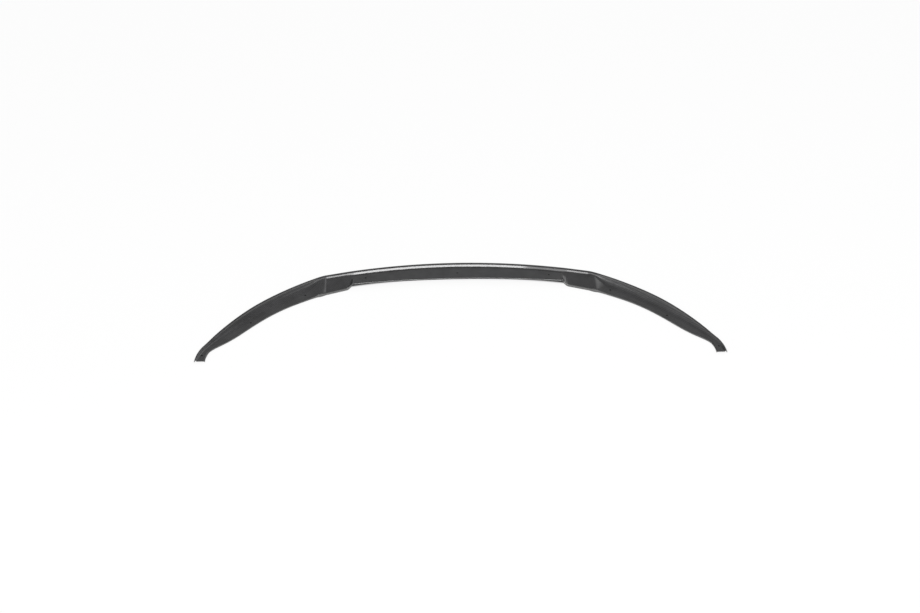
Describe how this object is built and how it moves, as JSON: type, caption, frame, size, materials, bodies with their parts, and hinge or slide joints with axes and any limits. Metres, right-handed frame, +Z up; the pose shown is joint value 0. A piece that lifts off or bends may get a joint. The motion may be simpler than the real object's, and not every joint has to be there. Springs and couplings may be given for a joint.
{
  "type": "front bumper lip",
  "caption": "Thin carbon fibre lip that curves under a car's front bumper, with a stepped mounting flange, a raised front crest, swept side wings and screw tabs at its tips.",
  "frame": {"origin": "under the middle of the lip's box, on the level of its lower front edge", "axes": "+X across the car, +Y to the car's front, +Z up"},
  "size_m": [1.684, 0.4999, 0.0317],
  "materials": {
    "carbon": "clear-coated twill weave carbon fibre"
  },
  "bodies": {
    "root": {"front_lip": "carbon"}
  },
  "joints": []
}
